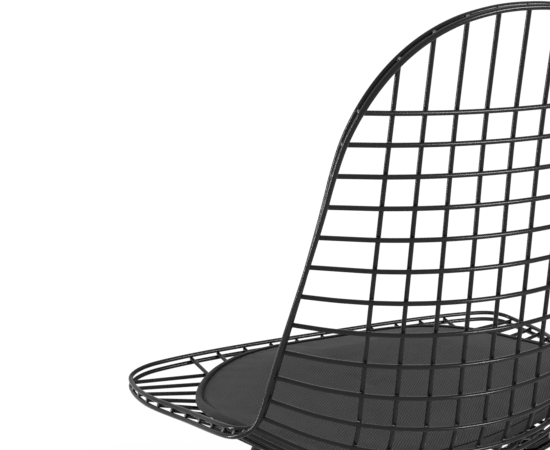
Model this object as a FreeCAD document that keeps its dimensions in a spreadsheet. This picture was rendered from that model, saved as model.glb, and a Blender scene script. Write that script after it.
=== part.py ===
"""Wire shell chair: a welded bucket of steel wire on a four-legged rod base, with a seat pad.

The sitter looks along -Y and +X is the sitter's left. The floor is z = 0.
One surface carries the whole shell. Its centre line is a chain of arcs, from the front
lip over the seat and the waist to the top of the back. The side view of the rim is a curve
of its own, and across the chair the surface is an arc from rim to rim at every place. Cross
wires lie in that surface, long wires lie on its inner side, and two rim wires hold all their
ends between them.
"""
import FreeCAD
import Part
import Sketcher
import math
import os
from FreeCAD import Placement, Rotation, Vector

DIMENSIONS = (
    # alias, value, what it is
    ("rim_height", 418.0, "front rim above the floor"),
    ("rim_front", 212.0, "front rim ahead of the middle of the chair"),
    ("wire_d", 4.3, "shell wire across its flats"),
    ("rim_d", 4.8, "rim wire across its flats"),
    ("weld_gap", 0.2, "room left at a welded touch"),
    ("end_proud", 0.6, "end of a wire past the middle of the rim"),
    ("lip_run", 48.0, "centre line: front lip"),
    ("thigh_run", 66.0, "centre line: front of the seat"),
    ("fall_run", 105.0, "centre line: seat falling to the rear"),
    ("dish_run", 71.0, "centre line: bottom of the dish"),
    ("waist_run", 125.0, "centre line: bend into the back"),
    ("lumbar_run", 208.0, "centre line: lower back"),
    ("shoulder_run", 178.0, "centre line: upper back"),
    ("lip_angle", -1.0, "slope at the front rim"),
    ("thigh_angle", -2.5, "slope behind the lip"),
    ("fall_angle", -10.5, "slope where the seat starts to fall"),
    ("dish_angle", -14.0, "slope where the dish starts"),
    ("rise_angle", 9.0, "slope where the waist starts"),
    ("lumbar_angle", 82.5, "slope at the bottom of the back"),
    ("back_angle", 85.0, "slope at the middle of the back"),
    ("top_angle", 78.0, "slope at the top of the back"),
    ("first_row", 53.0, "front rim to the first cross wire"),
    ("pitch_front", 26.25, "cross wire pitch at the lip"),
    ("pitch_thigh", 23.5, "cross wire pitch under the thighs"),
    ("pitch_dish", 25.75, "cross wire pitch at the dish"),
    ("pitch_waist", 31.75, "cross wire pitch at the waist"),
    ("pitch_back", 28.75, "cross wire pitch at the middle of the back"),
    ("pitch_top", 26.0, "cross wire pitch at the top"),
    ("edge_back_tip", 0.0, "side rim behind the front rim, at the front rim"),
    ("edge_back_corner", 51.5, "side rim behind the front rim, behind the corner"),
    ("edge_back_lip", 97.0, "side rim behind the front rim, at the lip"),
    ("edge_back_thigh", 174.0, "side rim behind the front rim, under the thighs"),
    ("edge_back_dish", 252.5, "side rim behind the front rim, at the dish"),
    ("edge_back_hip", 274.5, "side rim behind the front rim, at the hip"),
    ("edge_back_waist", 284.5, "side rim behind the front rim, at the waist"),
    ("edge_back_lumbar", 296.5, "side rim behind the front rim, at the lumbar"),
    ("edge_back_mid", 329.0, "side rim behind the front rim, below the middle of the back"),
    ("edge_back_back", 362.0, "side rim behind the front rim, at the middle of the back"),
    ("edge_back_crown", 398.5, "side rim behind the front rim, at the crown"),
    ("edge_back_above", 425.5, "side rim behind the front rim, above the crown"),
    ("edge_up_tip", 0.0, "side rim above the front rim, at the front rim"),
    ("edge_up_corner", 0.0, "side rim above the front rim, behind the corner"),
    ("edge_up_lip", 4.5, "side rim above the front rim, at the lip"),
    ("edge_up_thigh", 15.5, "side rim above the front rim, under the thighs"),
    ("edge_up_dish", 30.5, "side rim above the front rim, at the dish"),
    ("edge_up_hip", 36.0, "side rim above the front rim, at the hip"),
    ("edge_up_waist", 52.0, "side rim above the front rim, at the waist"),
    ("edge_up_lumbar", 93.5, "side rim above the front rim, at the lumbar"),
    ("edge_up_mid", 176.5, "side rim above the front rim, below the middle of the back"),
    ("edge_up_back", 260.5, "side rim above the front rim, at the middle of the back"),
    ("edge_up_crown", 367.5, "side rim above the front rim, at the crown"),
    ("edge_up_above", 465.5, "side rim above the front rim, above the crown"),
    ("half_front", 239.0, "half width at the front"),
    ("draw_lip", 1.0, "side rim drawn in from the front width, at the lip"),
    ("draw_thigh", 18.0, "side rim drawn in from the front width, under the thighs"),
    ("draw_dish", 34.5, "side rim drawn in from the front width, at the dish"),
    ("draw_hip", 48.5, "side rim drawn in from the front width, at the hip"),
    ("draw_waist", 58.0, "side rim drawn in from the front width, at the waist"),
    ("draw_back", 72.5, "side rim drawn in from the front width, at the middle of the back"),
    ("draw_shoulder", 85.0, "side rim drawn in from the front width, at the shoulder"),
    ("draw_top", 97.5, "side rim drawn in from the front width, above the crown"),
    ("corner_run", 75.0, "front corner along the centre line"),
    ("crown_rows", 3.25, "top wire to the top of the rim, in pitches"),
    ("fan_front", 32.25, "long wire pitch at the front"),
    ("fan_seat", 29.0, "long wire pitch behind the dish"),
    ("fan_back", 28.25, "long wire pitch at the middle of the back"),
    ("fan_top", 27.75, "long wire pitch at the top"),
    ("foot_x", 212.0, "foot to the middle plane, across"),
    ("foot_y", 224.0, "foot to the middle plane, front to back"),
    ("leg_d", 11.0, "leg rod"),
    ("leg_start", 8.0, "lower end of a leg above the floor"),
    ("brace_d", 6.2, "brace rod across its flats"),
    ("plate_width", 30.0, "mount plate and leg tab, across"),
    ("plate_length", 54.0, "mount plate and leg tab, along"),
    ("plate_corner", 6.0, "mount plate and leg tab, corner"),
    ("plate_thick", 4.0, "mount plate and leg tab"),
    ("washer_d", 24.0, "rubber washer"),
    ("washer_thick", 3.0, "rubber washer"),
    ("bolt_d", 6.0, "mount bolt shank"),
    ("bolt_flats", 10.0, "mount bolt head across flats"),
    ("bolt_head", 4.0, "mount bolt head height"),
    ("bolt_room", 0.3, "room round a bolt"),
    ("bolt_shift", 12.0, "bolt from the middle of its plate"),
    ("leg_shift", 14.0, "leg from the middle of its tab"),
    ("glide_d", 25.0, "foot glide at the floor"),
    ("glide_high", 21.0, "foot glide height"),
    ("glide_top", 19.0, "foot glide at its top"),
    ("pad_front", 25.0, "pad behind the front rim"),
    ("pad_rear", 288.0, "rear of the pad behind the front rim"),
    ("pad_half", 204.0, "half width of the pad"),
    ("pad_corner", 150.0, "front corner of the pad"),
    ("pad_tail", 95.0, "rear corner of the pad"),
    ("pad_edge", 9.0, "pad thickness at the border"),
    ("pad_crown", 6.0, "extra thickness in the middle"),
    ("pad_rest", 0.35, "pad above the long wires"),
    ("border_thick", 7.2, "border roll, across"),
    ("seam_drop", 0.8, "border roll below the edge of the top"),
    ("seam_gap", 0.25, "room at a seam"),
)

ROWS = 25
LAST_ROW = ROWS - 1
BACK_LINES = 4
FRONT_LINES = 5
SHORT_LINE_ROW = 10
CORNER_POWER = 3.5
CROWN_POWER = 2.2
CROWN_ROW = 22
FRONT_MOUNT_ROW = 3
REAR_MOUNT_ROW = 9
MOUNT_LINE = 3.5
WASHER_SIDES = 12
GLIDE_SIDES = 16
NUDGE = 0.5
BEND_LIMIT = 11.0

doc = FreeCAD.newDocument("wire_chair")
sheet = doc.addObject("Spreadsheet::Sheet", "Dims")
sheet.Label = "driving dimensions"
for index, (alias, value, note) in enumerate(DIMENSIONS, start=1):
    sheet.set("A%d" % index, note)
    sheet.set("B%d" % index, str(value))
    sheet.setAlias("B%d" % index, alias)
doc.recompute()


def size(alias):
    """A driving dimension in millimetres or degrees."""
    return float(sheet.get(alias))


def bind(obj, **sizes):
    """Tie properties of obj to formulas of the driving dimensions."""
    for prop, formula in sizes.items():
        obj.setExpression(prop, formula)
    return obj


def smooth(knots, values, place):
    """Monotone cubic through the knots: no bump between them that the values don't have."""
    last = len(knots) - 1
    place = min(max(place, knots[0]), knots[last])
    step = [knots[i + 1] - knots[i] for i in range(last)]
    rise = [(values[i + 1] - values[i]) / step[i] for i in range(last)]
    slope = [rise[0]]
    for i in range(1, last):
        if rise[i - 1] * rise[i] <= 0.0:
            slope.append(0.0)
        else:
            before = 2 * step[i] + step[i - 1]
            after = step[i] + 2 * step[i - 1]
            slope.append((before + after) / (before / rise[i - 1] + after / rise[i]))
    slope.append(rise[-1])
    i = 0
    while i < last - 1 and place > knots[i + 1]:
        i += 1
    t = (place - knots[i]) / step[i]
    start = (1 + 2 * t) * (1 - t) ** 2 * values[i] + t * (1 - t) ** 2 * step[i] * slope[i]
    end = t * t * (3 - 2 * t) * values[i + 1] + t * t * (t - 1) * step[i] * slope[i + 1]
    return start + end


def spline(knots, values):
    """Natural cubic through the knots, as a function of the place."""
    last = len(knots) - 1
    step = [knots[i + 1] - knots[i] for i in range(last)]
    rise = [(values[i + 1] - values[i]) / step[i] for i in range(last)]
    ratio = [0.0]
    part = [0.0]
    for i in range(1, last):
        pivot = 2 * (step[i - 1] + step[i]) - step[i - 1] * ratio[-1]
        ratio.append(step[i] / pivot)
        part.append((6 * (rise[i] - rise[i - 1]) - step[i - 1] * part[-1]) / pivot)
    bend = [0.0] * (last + 1)
    for i in range(last - 1, 0, -1):
        bend[i] = part[i] - ratio[i] * bend[i + 1]

    def curve(place):
        i = 0
        while i < last - 1 and place > knots[i + 1]:
            i += 1
        after = knots[i + 1] - place
        before = place - knots[i]
        cubic = (bend[i] * after ** 3 + bend[i + 1] * before ** 3) / (6 * step[i])
        first = (values[i] / step[i] - bend[i] * step[i] / 6) * after
        final = (values[i + 1] / step[i] - bend[i + 1] * step[i] / 6) * before
        return cubic + first + final

    return curve


# centre line

RUNS = [size(name + "_run") for name in ("lip", "thigh", "fall", "dish", "waist", "lumbar", "shoulder")]
ANGLE_NAMES = ("lip", "thigh", "fall", "dish", "rise", "lumbar", "back", "top")
ANGLES = [math.radians(size(name + "_angle")) for name in ANGLE_NAMES]


def centre_line(run):
    """Point and slope of the centre line at a distance along it from the front rim."""
    y = -size("rim_front")
    z = size("rim_height")
    if run < 0:
        return y + run * math.cos(ANGLES[0]), z + run * math.sin(ANGLES[0]), ANGLES[0]
    for length, first, final in zip(RUNS, ANGLES[:-1], ANGLES[1:]):
        part = min(run, length)
        bend = (final - first) / length
        turned = first + bend * part
        if abs(bend) < 1e-9:
            y += part * math.cos(first)
            z += part * math.sin(first)
        else:
            y += (math.sin(turned) - math.sin(first)) / bend
            z += (math.cos(first) - math.cos(turned)) / bend
        run -= part
        if run <= 0:
            return y, z, turned
    return y + run * math.cos(ANGLES[-1]), z + run * math.sin(ANGLES[-1]), ANGLES[-1]


PITCH_ROWS = (0, 5, 10, 14, 19, 24)
PITCHES = [size("pitch_" + name) for name in ("front", "thigh", "dish", "waist", "back", "top")]


def row_pitch(row):
    """Cross wire pitch behind a row."""
    return smooth(PITCH_ROWS, PITCHES, row)


ROW_RUNS = [size("first_row")]
for row in range(ROWS + 5):
    ROW_RUNS.append(ROW_RUNS[-1] + row_pitch(row))
TOP_RUN = ROW_RUNS[LAST_ROW] + size("crown_rows") * size("pitch_top")
CROWN_RUN = ROW_RUNS[CROWN_ROW]
CORNER_RUN = size("corner_run")


def row_at(run):
    """Row number, with its fraction, at a distance along the centre line."""
    if run < ROW_RUNS[0]:
        return (run - ROW_RUNS[0]) / row_pitch(0)
    row = 0
    while row < len(ROW_RUNS) - 2 and run > ROW_RUNS[row + 1]:
        row += 1
    return row + (run - ROW_RUNS[row]) / (ROW_RUNS[row + 1] - ROW_RUNS[row])


# the shell surface

EDGE_ROWS = (-2, 1, 3, 6, 9, 11, 13, 15, 18, 21, 25, 29)
EDGE_NAMES = (
    "tip", "corner", "lip", "thigh", "dish", "hip",
    "waist", "lumbar", "mid", "back", "crown", "above",
)
EDGE_BACK = spline(EDGE_ROWS, [size("edge_back_" + name) - size("rim_front") for name in EDGE_NAMES])
EDGE_UP = spline(EDGE_ROWS, [size("edge_up_" + name) + size("rim_height") for name in EDGE_NAMES])
HALF_ROWS = (0, 3, 6, 10, 12, 14, 18, 22, 29)
DRAW_NAMES = ("lip", "thigh", "dish", "hip", "waist", "back", "shoulder", "top")
HALF_WIDTHS = [size("half_front")] + [size("half_front") - size("draw_" + name) for name in DRAW_NAMES]
HALF = spline(HALF_ROWS, HALF_WIDTHS)
FAN_ROWS = (-2, 11, 17, 24, 28)
FANS = [size("fan_" + name) for name in ("front", "seat", "back", "top", "top")]


def straight_half(run):
    """Half width before the corners are rounded."""
    return HALF(max(row_at(run), HALF_ROWS[0]))


def half_width(run):
    """Half width of the rim, with the front corners and the crown rounded."""
    half = straight_half(run)
    if run > CROWN_RUN:
        part = min((run - CROWN_RUN) / (TOP_RUN - CROWN_RUN), 1.0)
        half *= (1 - part ** CROWN_POWER) ** (1 / CROWN_POWER)
    if run < CORNER_RUN:
        part = min((CORNER_RUN - run) / CORNER_RUN, 1.0)
        half *= (1 - part ** CORNER_POWER) ** (1 / CORNER_POWER)
    return half


def fan(run):
    """Long wire pitch."""
    return smooth(FAN_ROWS, FANS, row_at(run))


def section(run):
    """Curvature across the chair at a place along it, and the direction in which it rises."""
    row = row_at(run)
    y, z, _ = centre_line(run)
    away_y = EDGE_BACK(row) - y
    away_z = EDGE_UP(row) - z
    rise = max(math.hypot(away_y, away_z), 1e-3)
    return 2 * rise / (straight_half(run) ** 2 + rise ** 2), away_y / rise, away_z / rise


def bow(run):
    """Curvature of the surface across the chair."""
    return section(run)[0]


def skin_point(run, x):
    """Point of the surface."""
    curve, rise_y, rise_z = section(run)
    y, z, _ = centre_line(run)
    lean = math.asin(max(min(x * curve, 0.95), -0.95))
    sag = (1 - math.cos(lean)) / curve
    return Vector(x, y + rise_y * sag, z + rise_z * sag)


def normal(run, x):
    """Surface direction towards the sitter."""
    along = skin_point(run + NUDGE, x) - skin_point(run - NUDGE, x)
    across = skin_point(run, x + NUDGE) - skin_point(run, x - NUDGE)
    return across.cross(along).normalize()


def surface(run, x, offset=0.0):
    """Point of the surface, moved towards the sitter by offset."""
    if offset == 0.0:
        return skin_point(run, x)
    return skin_point(run, x) + normal(run, x) * offset


WIRE_D = size("wire_d")
RIM_D = size("rim_d")
GAP = size("weld_gap")
END_PROUD = size("end_proud")
LONG_OFFSET = WIRE_D + GAP
RIM_OFFSET = (RIM_D + WIRE_D) / 2 + GAP


# wires, bent in short straight runs with a bend at every place where wires touch

def bends(curve, stops):
    """Places of the bends along a curve: all the stops, and more where it turns sharply."""
    places = [stops[0]]
    for first, last in zip(stops[:-1], stops[1:]):
        step = (last - first) * 0.02
        leave = curve(first + step) - curve(first)
        arrive = curve(last) - curve(last - step)
        runs = max(1, math.ceil(math.degrees(leave.getAngle(arrive)) / BEND_LIMIT))
        places += [first + (last - first) * (i + 1) / runs for i in range(runs)]
    return places


def frame(origin, axis, across):
    """Placement at origin with Z along axis and Y near the direction across."""
    up = Vector(axis)
    up.normalize()
    along = across - up * across.dot(up)
    along.normalize()
    side = along.cross(up)
    return Placement(origin, Rotation(side, along, up, "ZYX"))


NODES = []


def node(obj, name):
    """Name a finished piece."""
    obj.Label = name
    NODES.append(obj)
    return obj


def tube(name, points, ups, across_flats, ends=None):
    """Wire of six flats through its bends, with a flat towards the direction up at each."""
    ways = []
    for start, finish in zip(points[:-1], points[1:]):
        way = finish - start
        ways.append(way.normalize())
    axes = [ways[0]] + [one + two for one, two in zip(ways[:-1], ways[1:])] + [ways[-1]]
    if ends:
        axes[0], axes[-1] = ends
    sections = []
    for i, (point, up, axis) in enumerate(zip(points, ups, axes)):
        section = doc.addObject("Part::RegularPolygon", "%s_bend_%d" % (name, i))
        section.Polygon = 6
        bind(section, Circumradius="Dims.%s / 2 / cos(30)" % across_flats)
        section.Placement = frame(point, axis, up)
        sections.append(section)
    loft = doc.addObject("Part::Loft", name + "_tube")
    loft.Sections = sections
    loft.Solid = True
    loft.Ruled = True
    return loft


def mirrored(source, name):
    """Copy of a piece on the sitter's right."""
    copy = doc.addObject("Part::Mirroring", name)
    copy.Source = source
    copy.Normal = Vector(1, 0, 0)
    return copy


# cross wires

for row in range(ROWS):
    run = ROW_RUNS[row]
    half = half_width(run)
    reach = half + END_PROUD * math.sqrt(1 - (half * bow(run)) ** 2)
    lines = FRONT_LINES if row <= SHORT_LINE_ROW else BACK_LINES
    inner = [line * fan(run) for line in range(-lines, lines + 1)]
    stops = [-reach] + [x for x in inner if abs(x) < half - 8] + [reach]
    places = bends(lambda x, run=run: surface(run, x), stops)
    points = [surface(run, x) for x in places]
    ups = [normal(run, x) for x in places]
    name = "cross_wire_%02d" % (row + 1)
    node(tube(name, points, ups, "wire_d"), name)


# long wires

def front_run(x):
    """Distance along the centre line of the front rim, at a distance from the middle plane."""
    part = min(abs(x) / size("half_front"), 1.0)
    return CORNER_RUN * (1 - (1 - part ** CORNER_POWER) ** (1 / CORNER_POWER))


def top_run(line):
    """Distance along the centre line where a long wire meets the crown of the rim."""
    low, high = CROWN_RUN, TOP_RUN
    for _ in range(40):
        run = (low + high) / 2
        if half_width(run) > line * fan(run):
            low = run
        else:
            high = run
    return (low + high) / 2


for line in range(FRONT_LINES + 1):
    begin = front_run(line * fan(0)) - END_PROUD
    if line > BACK_LINES:
        end = ROW_RUNS[SHORT_LINE_ROW] + WIRE_D
    else:
        end = top_run(line) + END_PROUD
    stops = [begin] + [run for run in ROW_RUNS[:ROWS] if begin + 8 < run < end - 3] + [end]
    places = bends(lambda run, line=line: surface(run, line * fan(run), LONG_OFFSET), stops)
    points = [surface(run, line * fan(run), LONG_OFFSET) for run in places]
    ups = [normal(run, line * fan(run)) for run in places]
    left = tube("line_%d" % line, points, ups, "wire_d")
    if line == 0:
        node(left, "long_wire_center")
    else:
        node(left, "long_wire_left_%d" % line)
        node(mirrored(left, "line_%d_mirror" % line), "long_wire_right_%d" % line)


# rim wires, bent in two halves that meet in the middle plane

def rim_place(part):
    """Place on the shell of the rim's half, from the front centre at 0 to the top centre at 3."""
    if part <= 1:
        angle = math.pi / 2 * (1 - max(part, 0.0))
        run = CORNER_RUN * (1 - math.sin(angle) ** (2 / CORNER_POWER))
        return run, straight_half(run) * math.cos(angle) ** (2 / CORNER_POWER)
    if part <= 2:
        run = CORNER_RUN + (CROWN_RUN - CORNER_RUN) * (part - 1)
        return run, straight_half(run)
    angle = math.pi / 2 * min(part - 2, 1.0)
    run = CROWN_RUN + (TOP_RUN - CROWN_RUN) * math.sin(angle) ** (2 / CROWN_POWER)
    return run, straight_half(run) * max(math.cos(angle), 0.0) ** (2 / CROWN_POWER)


RIM_STEPS = 3000


def rim_stops():
    """Places along the rim's half where it holds the ends of the other wires."""
    places = [rim_place(3.0 * i / RIM_STEPS) for i in range(RIM_STEPS + 1)]
    stops = []
    for line in range(1, FRONT_LINES + 1):
        stops.append(min(range(RIM_STEPS // 3), key=lambda i: abs(places[i][1] - line * fan(0))))
    side = range(RIM_STEPS // 5, RIM_STEPS * 4 // 5)
    for run in ROW_RUNS[1:CROWN_ROW + 2]:
        stops.append(min(side, key=lambda i: abs(places[i][0] - run)))
    crown = range(RIM_STEPS * 2 // 3, RIM_STEPS)
    for line in range(BACK_LINES, 0, -1):
        stops.append(min(crown, key=lambda i: abs(places[i][1] - line * fan(TOP_RUN))))
    return [0.0] + [3.0 * i / RIM_STEPS for i in sorted(set(stops))] + [3.0]


for name, offset in (("rim_upper", RIM_OFFSET), ("rim_lower", -RIM_OFFSET)):
    def rim_curve(part, offset=offset):
        run, x = rim_place(part)
        lift = smooth((0, 0.55, 1.0, 2.15, 2.75, 3.0), (1, 1, 0, 0, 1, 1), part)
        return surface(run, x, offset + lift * LONG_OFFSET)

    places = bends(rim_curve, rim_stops())
    points = [rim_curve(part) for part in places]
    ups = [normal(*rim_place(part)) for part in places]
    half = tube(name + "_half", points, ups, "rim_d", (Vector(1, 0, 0), Vector(-1, 0, 0)))
    ring = doc.addObject("Part::Fuse", name + "_ring")
    ring.Base = half
    ring.Tool = mirrored(half, name + "_mirror")
    node(ring, name)


# mounts: a plate welded under two cross wires, a rubber washer, a leg tab and a bolt

def mount_frame(row, hand):
    """Placement under two neighbouring cross wires: Z towards the sitter, Y to the rear."""
    places = []
    for step in (0, 1):
        run = ROW_RUNS[row + step]
        places.append((run, hand * MOUNT_LINE * fan(run)))
    front = surface(*places[0])
    rear = surface(*places[1])
    up = normal(*places[0]) + normal(*places[1])
    along = rear - front
    along.normalize()
    up = up - along * up.dot(along)
    return frame((front + rear) * 0.5, up, along)


PLATE_TOP = -(WIRE_D / 2 + GAP)
PLATE = size("plate_thick")
WASHER_TOP = PLATE_TOP - PLATE
TAB_TOP = WASHER_TOP - size("washer_thick")
TAB_FOOT = TAB_TOP - PLATE


def origin_plane(body, role):
    """One of a body's own origin planes."""
    for feature in body.Origin.OriginFeatures:
        if feature.Role == role:
            return feature
    raise ValueError(role)


def slotted_plate(name, place, top, hole_y):
    """Flat plate with clipped corners and one bolt hole, below the height top of its frame."""
    body = doc.addObject("PartDesign::Body", name)
    outline = body.newObject("Sketcher::SketchObject", name + "_outline")
    outline.AttachmentSupport = [(origin_plane(body, "XY_Plane"), "")]
    outline.MapMode = "FlatFace"
    wide = size("plate_width") / 2
    long = size("plate_length") / 2
    corners = [Vector(x, y, 0) for x, y in ((-wide, -long), (wide, -long), (wide, long), (-wide, long))]
    for i in range(4):
        outline.addGeometry(Part.LineSegment(corners[i], corners[(i + 1) % 4]))
    for i in range(4):
        outline.addConstraint(Sketcher.Constraint("Coincident", i, 2, (i + 1) % 4, 1))
    for i in (0, 2):
        outline.addConstraint(Sketcher.Constraint("Horizontal", i))
    for i in (1, 3):
        outline.addConstraint(Sketcher.Constraint("Vertical", i))
    outline.addConstraint(Sketcher.Constraint("Symmetric", 0, 1, 1, 2, -1, 1))
    width = outline.addConstraint(Sketcher.Constraint("Distance", 0, 2 * wide))
    length = outline.addConstraint(Sketcher.Constraint("Distance", 1, 2 * long))
    outline.setExpression("Constraints[%d]" % width, "Dims.plate_width")
    outline.setExpression("Constraints[%d]" % length, "Dims.plate_length")
    pad = body.newObject("PartDesign::Pad", name + "_pad")
    pad.Profile = outline
    bind(pad, Length="Dims.plate_thick")
    pad.Reversed = True
    doc.recompute()
    upright = []
    for i, edge in enumerate(pad.Shape.Edges, start=1):
        ends = edge.Vertexes
        if abs(ends[0].Z - ends[1].Z) > 0.9 * PLATE:
            upright.append("Edge%d" % i)
    clipped = body.newObject("PartDesign::Chamfer", name + "_corners")
    clipped.Base = (pad, upright)
    bind(clipped, Size="Dims.plate_corner")
    hole = body.newObject("Sketcher::SketchObject", name + "_hole")
    hole.AttachmentSupport = [(origin_plane(body, "XY_Plane"), "")]
    hole.MapMode = "FlatFace"
    bore = size("bolt_d") / 2 + size("bolt_room")
    hole.addGeometry(Part.Circle(Vector(0, hole_y, 0), Vector(0, 0, 1), bore))
    radius = hole.addConstraint(Sketcher.Constraint("Radius", 0, bore))
    hole.setExpression("Constraints[%d]" % radius, "Dims.bolt_d / 2 + Dims.bolt_room")
    drill = body.newObject("PartDesign::Pocket", name + "_drill")
    drill.Profile = hole
    drill.Type = 1
    body.Tip = drill
    body.Placement = place.multiply(Placement(Vector(0, 0, top), Rotation()))
    return body


def cylinder(name, place, radius, height):
    """Cylinder with its radius tied to the sheet."""
    rod = doc.addObject("Part::Cylinder", name)
    bind(rod, Radius=radius)
    rod.Height = height
    rod.Placement = place
    return rod


def cut(name, base, tool):
    """Base without tool."""
    result = doc.addObject("Part::Cut", name)
    result.Base = base
    result.Tool = tool
    return result


def group(name, members):
    """Separate like pieces kept together."""
    compound = doc.addObject("Part::Compound", name + "_group")
    compound.Links = members
    return node(compound, name)


MOUNTS = {}
plates, washers, tabs, bolts = [], [], [], []
for end, row, to_leg in (("front", FRONT_MOUNT_ROW, -1), ("rear", REAR_MOUNT_ROW, 1)):
    for hand, sign in (("left", 1), ("right", -1)):
        label = "%s_%s" % (end, hand)
        place = mount_frame(row, sign)
        bolt_y = -to_leg * size("bolt_shift")
        MOUNTS[label] = (place, to_leg * size("leg_shift"))
        plates.append(slotted_plate("plate_" + label, place, PLATE_TOP, bolt_y))
        tabs.append(slotted_plate("tab_" + label, place, TAB_TOP - GAP, bolt_y))
        base = place.multiply(Placement(Vector(0, bolt_y, TAB_TOP), Rotation()))
        ring = doc.addObject("Part::Prism", "washer_" + label)
        ring.Polygon = WASHER_SIDES
        bind(ring, Circumradius="Dims.washer_d / 2", Height="Dims.washer_thick - Dims.weld_gap")
        ring.Placement = base
        eye = doc.addObject("Part::Prism", "washer_eye_" + label)
        eye.Polygon = WASHER_SIDES
        bind(eye, Circumradius="(Dims.bolt_d / 2 + Dims.bolt_room) / cos(15)", Height="Dims.washer_thick")
        eye.Placement = base
        washers.append(cut("washer_ring_" + label, ring, eye))
        seat = place.multiply(Placement(Vector(0, bolt_y, TAB_FOOT - 2 * GAP), Rotation()))
        shank = doc.addObject("Part::Prism", "shank_" + label)
        shank.Polygon = WASHER_SIDES
        shank.Placement = seat
        long = "2 * Dims.plate_thick + Dims.washer_thick + Dims.weld_gap"
        bind(shank, Circumradius="Dims.bolt_d / 2", Height=long)
        head = doc.addObject("Part::Prism", "head_" + label)
        head.Polygon = 6
        bind(head, Circumradius="Dims.bolt_flats / 2 / cos(30)", Height="Dims.bolt_head")
        head.Placement = seat.multiply(Placement(Vector(0, 0, -size("bolt_head")), Rotation()))
        bolt = doc.addObject("Part::Fuse", "bolt_" + label)
        bolt.Base = head
        bolt.Tool = shank
        bolts.append(bolt)
group("shell_mount_plates", plates)
group("mount_washers", washers)
group("leg_tabs", tabs)
group("mount_bolts", bolts)


# legs and their glides

LEGS = {}
glides = []
for label, (place, leg_y) in MOUNTS.items():
    end, hand = label.split("_")
    sign_x = 1 if hand == "left" else -1
    sign_y = -1 if end == "front" else 1
    held = (size("glide_high") - size("leg_start")) / 2
    middle = Vector(sign_x * size("foot_x"), sign_y * size("foot_y"), size("leg_start") + held)
    head = place.multVec(Vector(0, leg_y, TAB_FOOT - 2 * GAP))
    foot = middle - (head - middle) * (held / (head.z - middle.z))
    way = head - foot
    LEGS[label] = (foot, head)
    lie = frame(foot, way, Vector(0, 1, 0))
    rod = cylinder("rod_" + label, lie, "Dims.leg_d / 2", way.Length + 2 * size("leg_d"))
    cope = doc.addObject("Part::Box", "cope_" + label)
    bind(cope, Length="8 * Dims.leg_d", Width="8 * Dims.leg_d", Height="4 * Dims.leg_d")
    block = 4 * size("leg_d")
    cope.Placement = place.multiply(Placement(Vector(-block, leg_y - block, TAB_FOOT - 2 * GAP), Rotation()))
    node(cut("leg_%s_cut" % label, rod, cope), "leg_" + label)

    rings = []
    for level, across in (("floor", "glide_d"), ("top", "glide_top")):
        ring = doc.addObject("Part::RegularPolygon", "glide_%s_%s" % (level, label))
        ring.Polygon = GLIDE_SIDES
        bind(ring, Circumradius="Dims.%s / 2" % across)
        height = 0.0 if level == "floor" else size("glide_high")
        ring.Placement = Placement(Vector(middle.x, middle.y, height), Rotation())
        rings.append(ring)
    glide = doc.addObject("Part::Loft", "glide_" + label)
    glide.Sections = rings
    glide.Solid = True
    glide.Ruled = True
    way.normalize()
    start = foot - way * GAP
    lie = frame(start, way, Vector(0, 1, 0))
    socket = cylinder("socket_" + label, lie, "Dims.leg_d / 2 + Dims.weld_gap", 3 * size("glide_high"))
    glides.append(cut("glide_%s_cut" % label, glide, socket))
group("foot_glides", glides)


# braces, crossed between neighbouring legs and coped to them

def along_leg(label, part):
    """Point of a leg's axis."""
    foot, head = LEGS[label]
    return foot + (head - foot) * part


def sleeve(name, label):
    """Room round a leg where a brace is coped."""
    foot, head = LEGS[label]
    way = head - foot
    place = frame(foot, way, Vector(0, 1, 0))
    return cylinder(name, place, "Dims.leg_d / 2 + Dims.weld_gap", way.Length * 1.1)


FACES = (
    ("front", "front_left", "front_right", 0.42, 0.94),
    ("rear", "rear_left", "rear_right", 0.42, 0.94),
    ("left", "front_left", "rear_left", 0.34, 0.86),
    ("right", "front_right", "rear_right", 0.34, 0.86),
)
for face, one, two, low, high in FACES:
    square = (LEGS[one][1] - LEGS[one][0]).cross(LEGS[two][0] - LEGS[one][0])
    square.normalize()
    for index, (lower, upper, side) in enumerate(((one, two, 1), (two, one, -1)), start=1):
        shift = square * (side * (size("brace_d") + GAP) / 2)
        start = along_leg(lower, low) + shift
        end = along_leg(upper, high) + shift
        name = "brace_%s_%d" % (face, index)
        rod = doc.addObject("Part::Prism", name + "_rod")
        rod.Polygon = 6
        bind(rod, Circumradius="Dims.brace_d / 2 / cos(30)")
        rod.Height = (end - start).Length
        rod.Placement = frame(start, end - start, square)
        first = cut(name + "_low", rod, sleeve(name + "_low_leg", lower))
        node(cut(name + "_cut", first, sleeve(name + "_high_leg", upper)), name)


# seat pad: a crowned cushion with a border roll sewn round it

PAD_BASE = LONG_OFFSET + WIRE_D / 2 + size("pad_rest")
PAD_MIDDLE = (size("pad_front") + size("pad_rear")) / 2
PAD_DEPTH = (size("pad_rear") - size("pad_front")) / 2


def pad_bottom(run, x):
    """Height of the pad's underside above the shell surface."""
    return PAD_BASE


def pad_top(run, x):
    """Height of the pad's top above the shell surface, drawn down towards the border."""
    back = centre_line(run)[0] + size("rim_front") - PAD_MIDDLE
    reach = (abs(x / size("pad_half")) ** 3 + abs(back / PAD_DEPTH) ** 3) ** (1 / 3)
    return PAD_BASE + size("pad_edge") + size("pad_crown") * (1 - min(reach, 1.1) ** 4)


def band_top(run, x):
    """Height of the border roll."""
    return pad_top(run, x) - size("seam_drop")


PAD_RUNS = 14
PAD_SPANS = 18
SHEET_WIDER = 1.12


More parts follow.
